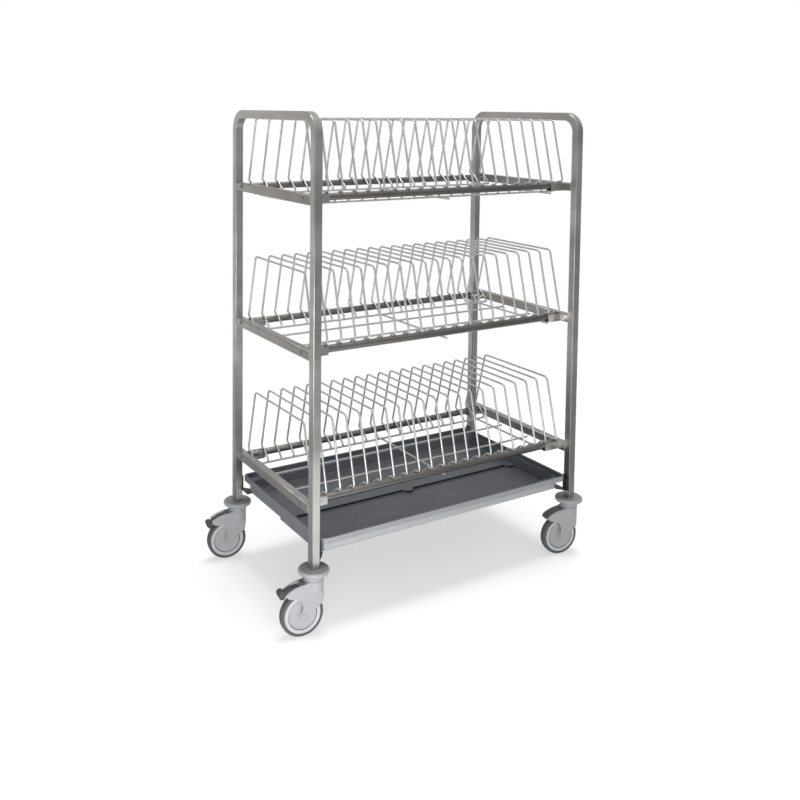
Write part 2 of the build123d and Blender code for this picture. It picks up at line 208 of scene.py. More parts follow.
def noise(tree, place, scale, detail):
    """Cloudy noise, from 0 to 1 about a half."""
    return wired(tree, "ShaderNodeTexNoise", {"Vector": place, "Scale": scale, "Detail": detail})


def brushed_grain():
    """Fine lines that run along V: a mask of the lines, and a normal that carries them."""
    tree, given, out = node_group(
        "ShaderNodeTree", "brushed grain",
        {"Vector": "Vector", "Lines per metre": 900.0, "Line length": 0.05, "Depth": 0.3},
        {"Lines": "Float", "Normal": "Vector"},
    )
    u, v, w = wired(tree, "ShaderNodeSeparateXYZ", {0: given["Vector"]}).outputs
    across = computed(tree, "MULTIPLY", u, given["Lines per metre"])
    along = computed(tree, "DIVIDE", v, given["Line length"])
    place = wired(tree, "ShaderNodeCombineXYZ", {0: across, 1: along, 2: w})
    lines = noise(tree, place, 1.0, 3.0)
    wire_into(tree, lines, {"Roughness": 0.65})
    relief = {"Height": lines, "Strength": given["Depth"], "Distance": 0.0002}
    bump = wired(tree, "ShaderNodeBump", relief)
    wire_into(tree, out, {"Lines": lines, "Normal": bump})
    return tree


def handling_marks():
    """Soft smudges and small dull spots, from 0 where clean to 1."""
    sockets = {"Vector": "Vector", "Size": 0.06, "Spot size": 0.004}
    tree, given, out = node_group("ShaderNodeTree", "handling marks", sockets, {"Marks": "Float"})
    large = computed(tree, "DIVIDE", 1.0, given["Size"])
    small = computed(tree, "DIVIDE", 1.0, given["Spot size"])
    smudge = noise(tree, given["Vector"], large, 2.0)
    spots = noise(tree, given["Vector"], small, 1.0)
    soft = graded(tree, smudge, 0.42, 0.68)
    dots = graded(tree, spots, 0.66, 0.74, to=(0.0, 0.6))
    both = computed(tree, "MAXIMUM", soft, dots)
    wire_into(tree, out, {"Marks": both})
    return tree


grain_group = brushed_grain()
marks_group = handling_marks()


def blank_material(name):
    """A material with one Principled shader, its tree and the object's own coordinates."""
    material = bpy.data.materials.new(name)
    material.use_nodes = True
    tree = material.node_tree
    shader = tree.nodes["Principled BSDF"]
    place = tree.nodes.new("ShaderNodeTexCoord").outputs["Object"]
    return material, tree, shader, place


def placed_group(tree, group, **inputs):
    """A shader group in a material, with its named inputs given or linked."""
    node = wired(tree, "ShaderNodeGroup", node_tree=group)
    wire_into(tree, node, {label.replace("_", " "): value for label, value in inputs.items()})
    return node.outputs


def two_tones(tree, mask, low, high):
    """The colour between low and high, each a colour or a socket, at the mask's value."""
    low, high = (end if isinstance(end, bpy.types.NodeSocket) else (*end, 1.0) for end in (low, high))
    mix = wired(tree, "ShaderNodeMix", data_type="RGBA")
    wire_into(tree, mix, {"Factor": mask, "A": low, "B": high})
    return mix.outputs["Result"]


def dulled(tree, marks, roughness, most):
    """The roughness, greater by up to most where there are marks."""
    return graded(tree, marks["Marks"], 0.0, 1.0, to=(roughness, roughness + most))


def shaded(colour, share):
    """The colour made darker or lighter, no lighter than white."""
    return tuple(min(1.0, share * part) for part in colour)


# Painted reflection: the wide bands make the steel lighter and darker in streaks, standing in for the
# reflections it shows.
reflection_band_scale = (3.0, 3.0, 9.0)
reflection_band_share = 0.6


def brushed_steel(name, colour, roughness, depth, line_length=0.05):
    """Stainless steel with a brushed grain along its UV map's V and faint wide bands of painted reflection.
    """
    material, tree, shader, place = blank_material(name)
    uv = wired(tree, "ShaderNodeUVMap", uv_map="girth and length")
    grain = placed_group(tree, grain_group, Vector=uv, Depth=depth, Line_length=line_length)
    marks = placed_group(tree, marks_group, Vector=place)
    stretched = wired(tree, "ShaderNodeVectorMath", {0: place, 1: reflection_band_scale}, operation="MULTIPLY")
    band = graded(tree, noise(tree, stretched, 1.0, 2.0), 0.36, 0.64)
    tone = wired(tree, "ShaderNodeMix", {"Factor": reflection_band_share, "A": grain["Lines"], "B": band})
    wire_into(tree, shader, {
        "Base Color": two_tones(tree, tone, shaded(colour, 0.74), shaded(colour, 1.22)),
        "Roughness": dulled(tree, marks, roughness, 0.1),
        "Normal": grain["Normal"],
        "Metallic": 1.0,
    })
    return material


def tube_piece(name, path, outline, across, steel, node):
    """One length of the frame's tube along the path, in place of its CAD node."""
    tube = finished(swept("tube", path, outline, across))
    shown(name, tube, steel, "frame", "stainless_steel", node)


tube_outline = rounded_square(tube_size, tube_corner)
tube_steel = brushed_steel("brushed stainless tube", steel_colour, 0.3, 0.25)
along_x, along_y = Vector((1, 0, 0)), Vector((0, 1, 0))
for side in ("left", "right"):
    low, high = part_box(f"{side}_hoop")
    half = tube_size / 2
    x = (low.x + high.x) / 2
    corners = [
        Vector((x, low.y + half, low.z)),
        Vector((x, low.y + half, high.z - half)),
        Vector((x, high.y - half, high.z - half)),
        Vector((x, high.y - half, low.z)),
    ]
    path = bent_line(corners, hoop_bend, hoop_bend_steps)
    tube_piece(f"{side}_hoop_tube", path, tube_outline, along_x, tube_steel, f"{side}_hoop")

# End rails. Three lengths of the same square tube on each side, cut square and welded
# between the two posts of a hoop; the racks' round rails are bolted to them.
tiers = ("lower", "middle", "upper")
# Painted shade: the end rails are a darker copy of the hoops' steel.
end_rail_steel = brushed_steel("brushed stainless end rail", (0.43, 0.418, 0.398), 0.32, 0.25)
for side in ("left", "right"):
    for tier in tiers:
        node = f"{side}_end_rail_{tier}"
        low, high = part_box(node)
        middle = (low + high) / 2
        ends = [Vector((middle.x, y, middle.z)) for y in (low.y, high.y)]
        tube_piece(f"{side}_end_tube_{tier}", ends, tube_outline, along_x, end_rail_steel, node)

# Weld seams. A narrow rippled bead runs round the end of each end rail, where it meets its post,
# with the heat's faint straw and blue tint left in the steel.
bead_radius = 0.0013
bead_pitch = 0.0016
bead_flat = 0.7


def node_tree(name, inputs):
    """An empty Geometry Nodes group with geometry in and out and the other inputs."""
    geometry = {"Geometry": "Geometry"}
    return node_group("GeometryNodeTree", name, geometry | inputs, geometry)


def end_tree(tree, geometry, material, out):
    """Realize the instances, shade them smooth, give them their material and put them out."""
    real = wired(tree, "GeometryNodeRealizeInstances", {"Geometry": geometry})
    smooth = wired(tree, "GeometryNodeSetShadeSmooth", {"Geometry": real})
    coated = wired(tree, "GeometryNodeSetMaterial", {"Geometry": smooth, "Material": material})
    wire_into(tree, out, {0: coated})


def grown(base, tree, **inputs):
    """The mesh that a Geometry Nodes tree makes from a base mesh, with the tree's named inputs set."""
    holder = placed_object("in_work", base)
    modifier = holder.modifiers.new(tree.name, "NODES")
    modifier.node_group = tree
    for item in tree.interface.items_tree:
        label = item.name.replace(" ", "_").lower()
        if item.in_out == "INPUT" and label in inputs:
            modifier[item.identifier] = inputs[label]
    return evaluated(holder)


def wire_path(name, runs, closed=False, bends=None):
    """A mesh of bare edges along the runs, with a bend radius kept at each point."""
    points, edges, radii = [], [], []
    for run in runs:
        first = len(points)
        points += run
        edges += [(first + i, first + i + 1) for i in range(len(run) - 1)]
        if closed:
            edges.append((first + len(run) - 1, first))
        radii += bends or [0.0] * len(run)
    mesh = bpy.data.meshes.new(name)
    mesh.from_pydata(points, edges, [])
    bend = mesh.attributes.new("bend", "FLOAT", "POINT")
    bend.data.foreach_set("value", radii)
    return mesh


def bead_tree():
    """Small flattened beads, one after the other along each edge loop."""
    sizes = dict.fromkeys(("Bead radius", "Bead pitch", "Bead flatness"), "Float")
    tree, given, out = node_tree("weld bead", {**sizes, "Finish": "Material"})
    line = wired(tree, "GeometryNodeMeshToCurve", {"Mesh": given["Geometry"]})
    spacing = {"Curve": line, "Length": given["Bead pitch"]}
    even = wired(tree, "GeometryNodeResampleCurve", spacing, mode="LENGTH")
    ball = {"Segments": 8, "Rings": 6, "Radius": given["Bead radius"]}
    bead = wired(tree, "GeometryNodeMeshUVSphere", ball)
    shape = wired(tree, "ShaderNodeCombineXYZ", {0: 1.0, 1: given["Bead flatness"], 2: 1.0})
    copies = {"Points": even, "Instance": bead, "Scale": shape}
    laid = wired(tree, "GeometryNodeInstanceOnPoints", copies)
    end_tree(tree, laid, given["Finish"], out)
    return tree


def weld_finish():
    """Bare weld metal: bright ripples with straw and blue heat tints."""
    material, tree, shader, place = blank_material("weld seam")
    ramp = wired(tree, "ShaderNodeValToRGB", {0: noise(tree, place, 60.0, 2.0)})
    ramp.color_ramp.elements[0].color = (0.42, 0.40, 0.40, 1.0)
    ramp.color_ramp.elements[1].color = (0.62, 0.60, 0.56, 1.0)
    straw = ramp.color_ramp.elements.new(0.45)
    straw.color = (0.60, 0.55, 0.46, 1.0)
    pits = noise(tree, place, 1500.0, 2.0)
    bump = wired(tree, "ShaderNodeBump", {"Height": pits, "Strength": 0.3, "Distance": 0.0003})
    wire_into(tree, shader, {"Base Color": ramp, "Normal": bump, "Metallic": 1.0, "Roughness": 0.28})
    return material


weld_steel = weld_finish()
weld_beads = bead_tree()
seams = []
for side in ("left", "right"):
    for tier in tiers:
        low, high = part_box(f"{side}_end_rail_{tier}")
        middle = (low + high) / 2
        reach = tube_size / 2 - bead_radius / 2
        for y in (low.y, high.y):
            outline = rounded_square(2 * reach, tube_corner, steps=2)
            seams.append([(middle.x + a, y, middle.z + b) for a, b in outline])
seam_mesh = grown(
    wire_path("seams", seams, closed=True), weld_beads, bead_radius=bead_radius,
    bead_pitch=bead_pitch, bead_flatness=bead_flat, finish=weld_steel,
)
shown("end_rail_welds", seam_mesh, weld_steel, "frame", "stainless_steel")

# Long rails. Two round stainless tubes at each tier, front and back, that carry a rack.
# Each is held in a cradle at both its ends.
rail_sides = 32
# Painted shade: the round rails' steel is far darker than the hoops', standing in for the shade on them.
rail_steel = brushed_steel("drawn stainless tube", (0.27, 0.263, 0.252), 0.3, 0.15, line_length=0.12)


def circle_outline(radius, sides):
    """A round outline, as (across, up) points."""
    turns = [2 * math.pi * i / sides for i in range(sides)]
    return [(radius * math.cos(turn), radius * math.sin(turn)) for turn in turns]


for face in ("front", "rear"):
    for tier in tiers:
        node = f"{face}_rail_{tier}"
        low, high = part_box(node)
        middle = (low + high) / 2
        ends = [Vector((x, middle.y, middle.z)) for x in (low.x, high.x)]
        round_outline = circle_outline((high.z - low.z) / 2, rail_sides)
        tube_piece(f"{face}_tube_{tier}", ends, round_outline, along_y, rail_steel, node)

# Rail cradles. Short channels folded from bright sheet, open at the top, each with a thick web
# against its end rail; a rail's end lies in the channel.
fold_radius = 0.0005


def cleaned_copy(node):
    """A CAD node's mesh as clean flat faces: its doubles merged and flat neighbours joined."""
    bm = bmesh.new()
    bm.from_mesh(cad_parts[node].data)
    bmesh.ops.remove_doubles(bm, verts=bm.verts, dist=0.00001)
    bmesh.ops.dissolve_limit(bm, angle_limit=math.radians(0.5), verts=bm.verts, edges=bm.edges)
    return mesh_of(node, bm)


def rounded_edges(width, segments=2, angle=25):
    """A bevel on every edge sharper than the angle."""
    settings = {
        "width": width, "segments": segments, "limit_method": "ANGLE",
        "angle_limit": math.radians(angle), "use_clamp_overlap": True,
    }
    return ("BEVEL", settings)


def polished_steel(name, colour, roughness):
    """Bright sheet or turned steel, with fine random scratches and dull marks."""
    material, tree, shader, place = blank_material(name)
    marks = placed_group(tree, marks_group, Vector=place, Size=0.02, Spot_size=0.003)
    fine = noise(tree, place, 700.0, 2.0)
    wire_into(tree, shader, {
        "Base Color": two_tones(tree, marks["Marks"], colour, shaded(colour, 0.86)),
        "Roughness": dulled(tree, marks, roughness, 0.12),
        "Normal": wired(tree, "ShaderNodeBump", {"Height": fine, "Strength": 0.08, "Distance": 0.0002}),
        "Metallic": 1.0,
    })
    return material


cradle_steel = polished_steel("bright folded sheet", (0.60, 0.595, 0.58), 0.22)
cradle_mesh = finished(cleaned_copy("rail_cradles"), rounded_edges(fold_radius))
shown("folded_cradles", cradle_mesh, cradle_steel, "frame", "stainless_steel", "rail_cradles")

# Coach bolts. One goes through the end rail into each cradle's web; its low domed head
# is on the rail's outer face and has a small round recess.
bolt_head_height = 0.004
bolt_head_radius = 0.0075


def turned(name, profile, sides, closed=True):
    """A body of revolution about Z from (radius, height) points, with its poles closed."""
    bm = bmesh.new()
    rings = []
    for radius, height in profile:
        if radius < 1e-7:
            rings.append([bm.verts.new((0, 0, height))])
            continue
        angles = [2 * math.pi * i / sides for i in range(sides)]
        rings.append([bm.verts.new((radius * math.cos(a), radius * math.sin(a), height)) for a in angles])
    pairs = list(zip(rings, rings[1:]))
    if closed:
        pairs.append((rings[-1], rings[0]))
    for lower, upper in pairs:
        for i in range(sides):
            j = (i + 1) % sides
            ring_corners = ((lower, i), (lower, j), (upper, j), (upper, i))
            corners = list(dict.fromkeys(ring[at % len(ring)] for ring, at in ring_corners))
            if len(corners) > 2:
                bm.faces.new(corners)
    return mesh_of(name, bm)


def arc_points(centre, radius, start, end, steps):
    """Points on an arc in the (radius, height) plane, angles in degrees."""
    angles = [math.radians(start + (end - start) * i / steps) for i in range(steps + 1)]
    return [(centre[0] + radius * math.cos(a), centre[1] + radius * math.sin(a)) for a in angles]


def spread_tree():
    """A template set down at every point, turned as the point's own turn attribute says."""
    tree, given, out = node_tree("spread", {"Template": "Object", "Finish": "Material"})
    model = wired(tree, "GeometryNodeObjectInfo", {"Object": given["Template"]}).outputs["Geometry"]
    turn = wired(tree, "GeometryNodeInputNamedAttribute", {"Name": "turn"}, data_type="FLOAT_VECTOR")
    turning = wired(tree, "FunctionNodeEulerToRotation", {0: turn})
    copies = {"Points": given["Geometry"], "Instance": model, "Rotation": turning}
    laid = wired(tree, "GeometryNodeInstanceOnPoints", copies)
    end_tree(tree, laid, given["Finish"], out)
    return tree


spread = spread_tree()


def spread_out(name, template, places, finish, body, slot, *nodes):
    """One piece made of copies of the template mesh, one at each (point, turn)."""
    base = bpy.data.meshes.new(name)
    base.from_pydata([point for point, turn in places], [], [])
    turns = base.attributes.new("turn", "FLOAT_VECTOR", "POINT")
    turns.data.foreach_set("vector", [part for point, turn in places for part in turn])
    model = bpy.data.objects.new(f"{name}_template", template)
    copies = grown(base, spread, template=model, finish=finish)
    bpy.data.objects.remove(model)
    bpy.data.meshes.remove(template)
    return shown(name, copies, finish, body, slot, *nodes)


head_seat = 0.0004
recess_radius = 0.003
recess_depth = 0.002
dome_radius = (bolt_head_radius**2 + bolt_head_height**2) / (2 * bolt_head_height)
dome_rise = math.degrees(math.asin(bolt_head_radius / dome_radius))
dome = arc_points((0, bolt_head_height - dome_radius), dome_radius, 90 - dome_rise * 0.92, 90, 7)
head_profile = [
    (0, -head_seat), (bolt_head_radius * 0.98, -head_seat), (bolt_head_radius, head_seat),
    *[(r, z) for r, z in dome if r > recess_radius],
    (recess_radius, bolt_head_height - 0.0005), (recess_radius, bolt_head_height - recess_depth),
    (0, bolt_head_height - recess_depth),
]
bolt_head = turned("bolt head", head_profile, 24, closed=False)
bolt_steel = polished_steel("zinc-plated steel", (0.42, 0.418, 0.405), 0.22)
bolt_low, bolt_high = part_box("rail_bolts")
seat_x = {-1: bolt_low.x + bolt_head_height, 1: bolt_high.x - bolt_head_height}
rail_box = {(face, tier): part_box(f"{face}_rail_{tier}") for face in ("front", "rear") for tier in tiers}
rail_middle = {rail: (low + high) / 2 for rail, (low, high) in rail_box.items()}
bolt_places = [
    ((seat_x[side], middle.y, middle.z), (0, side * math.pi / 2, 0))
    for side in (-1, 1) for middle in rail_middle.values()
]
spread_out("coach_bolts", bolt_head, bolt_places, bolt_steel, "frame", "zinc_steel", "rail_bolts")

# Wire racks. Each is 21 bent loops of 6 mm steel wire, spot-welded to four long wires that lie
# on three cross wires, all coated in pale grey. The loops' feet rest on the two long rails.
wire_radius = 0.003
wire_sides = 10
loop_bend_steps = 4
loop_count = 21
loop_height = 0.198
loop_top_half = 0.157
loop_heel_half = 0.2075
loop_foot_half = 0.188
loop_toe_half = 0.160
loop_toe_drop = 0.020
loop_tail_drop = 0.0277
under_wire_lift = 0.008
foot_rise = wire_radius + 0.0001
long_wire_ys = (-loop_toe_half, -0.065, 0.065, loop_toe_half)
spot_radius = 0.0019
coat_colour = (0.68, 0.675, 0.665)


def loop_tree():
    """One outline of edges, bent at its points, made a wire and repeated along X."""
    sizes = {"Wire radius": "Float", "Wire sides": "Int", "Bend steps": "Int"}
    row = {"Count": "Int", "Pitch": "Float", "Finish": "Material"}
    tree, given, out = node_tree("rack loops", sizes | row)
    line = wired(tree, "GeometryNodeMeshToCurve", {"Mesh": given["Geometry"]})
    radius = wired(tree, "GeometryNodeInputNamedAttribute", {"Name": "bend"}, data_type="FLOAT")
    bends = {"Curve": line, "Count": given["Bend steps"], "Radius": radius, "Limit Radius": True}
    bent = wired(tree, "GeometryNodeFilletCurve", bends, mode="POLY")
    ring = {"Resolution": given["Wire sides"], "Radius": given["Wire radius"]}
    section = wired(tree, "GeometryNodeCurvePrimitiveCircle", ring, mode="RADIUS")
    capped = {"Curve": bent, "Profile Curve": section, "Fill Caps": True}
    wire = wired(tree, "GeometryNodeCurveToMesh", capped)
    step = wired(tree, "ShaderNodeCombineXYZ", {0: given["Pitch"]})
    places = {"Count": given["Count"], "Offset": step}
    row = wired(tree, "GeometryNodeMeshLine", places, mode="OFFSET")
    laid = wired(tree, "GeometryNodeInstanceOnPoints", {"Points": row, "Instance": wire})
    end_tree(tree, laid, given["Finish"], out)
    return tree


def coated_wire():
    """Powder coat on wire: a pale, slightly uneven skin with a soft shine and a fine orange peel."""
    material, tree, shader, place = blank_material("pale wire coating")
    marks = placed_group(tree, marks_group, Vector=place, Size=0.03, Spot_size=0.0025)
    peel = noise(tree, place, 900.0, 1.0)
    wire_into(tree, shader, {
        "Base Color": two_tones(tree, marks["Marks"], coat_colour, shaded(coat_colour, 0.9)),
        "Roughness": graded(tree, marks["Marks"], 0.0, 1.0, to=(0.3, 0.45)),
        "Normal": wired(tree, "ShaderNodeBump", {"Height": peel, "Strength": 0.12, "Distance": 0.0003}),
        "Metallic": 0.75,
    })
    return material


rack_coat = coated_wire()
loop_wires = loop_tree()


def rack_wires(tier, name, runs, bends=None, bend_steps=1, count=1, pitch=0.0):
    """Wires of one rack along the runs, each repeated count times along X."""
    wires = grown(
        wire_path(name, runs, bends=bends), loop_wires, wire_radius=wire_radius,
        wire_sides=wire_sides, bend_steps=bend_steps, count=count, pitch=pitch, finish=rack_coat,
    )
    shown(f"{tier}_{name}", wires, rack_coat, f"{tier}_rack", "coated_wire", f"{tier}_rack_{name}")


side_run = [
    (loop_toe_half, -loop_tail_drop, 0.0),
    (loop_toe_half, -loop_toe_drop, 0.006),
    (loop_foot_half, foot_rise, 0.008),
    (loop_heel_half, foot_rise, 0.008),
    (loop_top_half, loop_height, 0.014),
]
loop_outline = [(-y, z) for y, z, bend in side_run] + [(y, z) for y, z, bend in reversed(side_run)]
loop_bends = [bend for y, z, bend in side_run + side_run[::-1]]
for tier in tiers:
    low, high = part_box(f"{tier}_rack_loops")
    rail_top = rail_box["front", tier][1].z
    first_x, last_x = low.x + wire_radius, high.x - wire_radius
    loop_pitch = (last_x - first_x) / (loop_count - 1)
    outline = [(first_x, y, rail_top + z) for y, z in loop_outline]
    rack_wires(tier, "loops", [outline], loop_bends, loop_bend_steps, loop_count, loop_pitch)
    low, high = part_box(f"{tier}_rack_long_wires")
    long_z = (low.z + high.z) / 2 + under_wire_lift
    long_runs = [[(low.x, y, long_z), (high.x, y, long_z)] for y in long_wire_ys]
    rack_wires(tier, "long_wires", long_runs)
    low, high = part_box(f"{tier}_rack_cross_wires")
    cross_z = (low.z + high.z) / 2 + under_wire_lift
    cross_middle = (low.x + high.x + loop_pitch) / 2
    cross_xs = [low.x + wire_radius, cross_middle, high.x - wire_radius]
    cross_runs = [[(x, low.y, cross_z), (x, high.y, cross_z)] for x in cross_xs]
    rack_wires(tier, "cross_wires", cross_runs)
    spot_ball = turned("spot", arc_points((0, 0), spot_radius, -90, 90, 6), 8, closed=False)
    loop_spots = [
        (first_x + loop_pitch * i + side * wire_radius, y, long_z + wire_radius * 0.8)
        for i in range(loop_count) for y in (-loop_toe_half, loop_toe_half) for side in (-1, 1)
    ]
    cross_spots = [
        (x, y + side * wire_radius, (long_z + cross_z) / 2)
        for x in cross_xs for y in long_wire_ys for side in (-1, 1)
    ]
    spots = [(point, (0, 0, 0)) for point in loop_spots + cross_spots]
    spread_out(f"{tier}_spot_welds", spot_ball, spots, rack_coat, f"{tier}_rack", "coated_wire")

# Drip tray. One moulded dark grey tray: an overhanging rim band, a set-back base, an inner ledge
# and a floor whose front half is a step lower, so that water runs to the front.
tray_edge = 0.0009
tray_colour = (0.105, 0.115, 0.13)
# Painted light: the front wall's outside is much paler than the tray, palest below its rim.
painted_front_light = (0.40, 0.408, 0.42)
painted_front_rim_light = (0.275, 0.283, 0.297)
# Painted light: the left end wall's outside is made paler than the rest of the tray.
painted_left_wall_light = (0.17, 0.178, 0.19)
# Painted shadow and shade: near black for the line on the step's riser and for the rib crests.
painted_shade_colour = (0.02, 0.021, 0.024)
rib_pitch = 0.009
rib_contrast = 0.45
front_wall_y = (-0.2285, -0.2305)
rim_foot_z = (0.236, 0.241)
end_wall_x = (-0.395, -0.405)
step_y, step_z = (-0.062, -0.058), (0.2185, 0.2175)
rib_x, rib_y, rib_z = (0.0, -0.2), (-0.03, -0.05), (0.2125, 0.2115)


def moulded_grain():
    """The fine leathery skin of a moulded part: a mask of its mottle, and a normal."""
    tree, given, out = node_group(
        "ShaderNodeTree", "moulded grain",
        {"Vector": "Vector", "Grain size": 0.0006, "Depth": 0.2},
        {"Mottle": "Float", "Normal": "Vector"},
    )
    scale = computed(tree, "DIVIDE", 1.0, given["Grain size"])
    cells = wired(tree, "ShaderNodeTexVoronoi", {"Vector": given["Vector"], "Scale": scale})
    cloud = noise(tree, given["Vector"], 14.0, 4.0)
    relief = {"Height": cells, "Strength": given["Depth"], "Distance": 0.0003}
    bump = wired(tree, "ShaderNodeBump", relief)
    wire_into(tree, out, {"Mottle": cloud, "Normal": bump})
    return tree


skin_group = moulded_grain()


def moulded_plastic(name, colour, roughness, depth=0.1, tone_spread=0.05):
    """Moulded plastic with a fine grain, uneven tone and rubbed patches."""
    material, tree, shader, place = blank_material(name)
    skin = placed_group(tree, skin_group, Vector=place, Depth=depth)
    marks = placed_group(tree, marks_group, Vector=place, Size=0.05, Spot_size=0.003)
    darker, lighter = shaded(colour, 1 - tone_spread), shaded(colour, 1 + tone_spread)
    wire_into(tree, shader, {
        "Base Color": two_tones(tree, skin["Mottle"], darker, lighter),
        "Roughness": dulled(tree, marks, roughness, 0.12),
        "Normal": skin["Normal"],
    })
    return material


def tray_finish():
    """The tray's plastic with painted light and shade: paler front and left walls, a painted shadow line
    along the floor's step and ribs darkened along their crests.
    """
    material = moulded_plastic("dark grey tray plastic", tray_colour, 0.38, 0.15, 0.12)
    tree = material.node_tree
    shader = tree.nodes["Principled BSDF"]
    plain, skin_normal = (shader.inputs[name].links[0].from_socket for name in ("Base Color", "Normal"))
    facing = wired(tree, "ShaderNodeNewGeometry").outputs["Normal"]
    place = wired(tree, "ShaderNodeTexCoord").outputs["Object"]
    x, y, z = wired(tree, "ShaderNodeSeparateXYZ", {0: place}).outputs

    def faces(direction):
        return graded(tree, measured(tree, "DOT_PRODUCT", facing, direction), 0.5, 0.8)

    def together(*masks):
        product = masks[0]
        for mask in masks[1:]:
            product = computed(tree, "MULTIPLY", product, mask)
        return product

    forward = faces((0.0, -1.0, 0.0))
    # Painted light on the outside of the front wall, which faces the light.
    front_light_mask = together(graded(tree, y, *front_wall_y), forward)
    front_tone = two_tones(tree, graded(tree, z, *rim_foot_z), painted_front_light, painted_front_rim_light)
    tone = two_tones(tree, front_light_mask, plain, front_tone)
    # Painted light on the left end wall's outside.
    left_end = together(faces((-1.0, 0.0, 0.0)), graded(tree, x, *end_wall_x))
    tone = two_tones(tree, left_end, tone, painted_left_wall_light)
    # Painted shadow: a black line along the riser between the floor's two levels.
    step_shadow_mask = together(graded(tree, y, *step_y), forward, graded(tree, z, *step_z))
    tone = two_tones(tree, step_shadow_mask, tone, painted_shade_colour)
    waves = computed(tree, "SINE", computed(tree, "MULTIPLY", x, 2 * math.pi / rib_pitch))
    crests = graded(tree, waves, 0.2, 0.9)
    ribs = together(crests, graded(tree, y, *rib_y), graded(tree, x, *rib_x), graded(tree, z, *rib_z))
    relief = {"Height": ribs, "Normal": skin_normal, "Strength": 0.5, "Distance": 0.0006}
    # Painted shade: the rib crests are darkened towards the same black.
    wire_into(tree, shader, {
        "Base Color": two_tones(tree, together(ribs, rib_contrast), tone, painted_shade_colour),
        "Normal": wired(tree, "ShaderNodeBump", relief),
    })
    return material


tray_plastic = tray_finish()
tray_mesh = finished(cleaned_copy("drip_tray"), rounded_edges(tray_edge))
shown("moulded_drip_tray", tray_mesh, tray_plastic, "drip_tray", "tray_plastic", "drip_tray")

# Tray supports. Four small angles folded from sheet, each bolted through its post from outside;
# the tray's base slides on their shelves.
shelf_taper = 0.030
post_cover = 0.02
angle_edge = 0.0006
bracket_bolt_y, bracket_bolt_z = 0.25, 0.247
small_head_share = 0.6
# Painted shade: the angles' steel is made almost black, for the shade they stand in under the tray.
angle_steel = polished_steel("folded sheet darkened for shade", (0.12, 0.118, 0.114), 0.45)
angles = cleaned_copy("tray_supports")
angle_low, angle_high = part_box("tray_supports")
for corner in angles.vertices:
    at_outer_face = abs(abs(corner.co.y) - angle_high.y) < 0.001
    off_post = min(corner.co.x - angle_low.x, angle_high.x - corner.co.x) > post_cover
    if at_outer_face and off_post:
        corner.co.y -= math.copysign(shelf_taper, corner.co.y)
support_mesh = finished(angles, rounded_edges(angle_edge))
shown("tray_angles", support_mesh, angle_steel, "frame", "stainless_steel", "tray_supports")
hoop_faces = {"left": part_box("left_hoop")[0].x, "right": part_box("right_hoop")[1].x}
bracket_bolts = [
    ((hoop_faces[side], y, bracket_bolt_z), (0, turn * math.pi / 2, 0))
    for side, turn in (("left", -1), ("right", 1)) for y in (-bracket_bolt_y, bracket_bolt_y)
]
small_profile = [(small_head_share * r, small_head_share * z) for r, z in head_profile]
small_head = turned("small head", small_profile, 20, closed=False)
spread_out("bracket_bolts", small_head, bracket_bolts, bolt_steel, "frame", "zinc_steel")

# Castor stems. A square plug sits in each post's foot and the round zinc-plated stem
# below it carries the fork; no side shows them.
stem_zinc = polished_steel("zinc-plated stem", (0.62, 0.62, 0.60), 0.3)
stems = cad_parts["castor_stems"]
stems.data.materials.clear()
stems.data.materials.append(stem_zinc)

# Bumpers. A round grey plastic disc between each post and its fork keeps walls clear:
# a thick rounded rim on top, drawn in below to the fork's collar.
bumper_radius = 0.043
bumper_rim = 0.011
bumper_collar = 0.027
collar_edge = 0.0008
neck_radius = 0.0236
under_rim_round = 0.0045
rim_round = 0.005
top_recess = 0.0015
stem_bore = 0.0065
bumper_sides = 72
bumper_low, bumper_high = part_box("castor_bumpers")
top, foot = bumper_high.z, bumper_low.z
neck = (bumper_collar + 0.024, foot + 0.003)
under_rim = (bumper_radius - under_rim_round, top - bumper_rim + 0.0035)
bumper_profile = [
    (stem_bore, foot), (bumper_collar - collar_edge, foot), (bumper_collar, foot + collar_edge),
    (bumper_collar + 0.0004, neck[1]), *arc_points(neck, neck_radius, 180, 140, 8),
    *arc_points(under_rim, under_rim_round, -60, 0, 6),
    *arc_points((bumper_radius - rim_round, top - rim_round), rim_round, 0, 90, 8),
    (bumper_radius - rim_round - 0.001, top - top_recess), (stem_bore, top - top_recess),
]
bumper = turned("bumper", bumper_profile, bumper_sides)
# Painted shade: a thin dark disc laid on each bumper's top stands in for the shade on its top face.
shade_disc_radius = bumper_radius - 0.0045
shade_disc_top, shade_disc_edge, shade_disc_foot = top - 0.0008, top - 0.0011, top - 0.004
shade_disc_profile = [
    (0, shade_disc_top), (shade_disc_radius - 0.0008, shade_disc_top), (shade_disc_radius, shade_disc_edge),
    (shade_disc_radius, shade_disc_foot), (0, shade_disc_foot),
]
shade_disc = turned("top plate", shade_disc_profile, bumper_sides, closed=False)
castor_grey = moulded_plastic("light grey castor plastic", (0.34, 0.347, 0.361), 0.36)
bumper_grey = moulded_plastic("mid grey bumper plastic", (0.31, 0.317, 0.33), 0.4, 0.1, 0.06)
bumper_top_shade = moulded_plastic("painted shade on bumper tops", (0.23, 0.233, 0.24), 0.45, 0.1, 0.06)
posts = {}
for castor in ("front_left", "front_right", "rear_left", "rear_right"):
    hoop_low, hoop_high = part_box("left_hoop" if castor.endswith("left") else "right_hoop")
    y = hoop_low.y + tube_size / 2 if castor.startswith("front") else hoop_high.y - tube_size / 2
    posts[castor] = Vector(((hoop_low.x + hoop_high.x) / 2, y, 0))
under_posts = [((post.x, post.y, 0), (0, 0, 0)) for post in posts.values()]
spread_out("round_bumpers", bumper, under_posts, bumper_grey, "frame", "castor_plastic", "castor_bumpers")
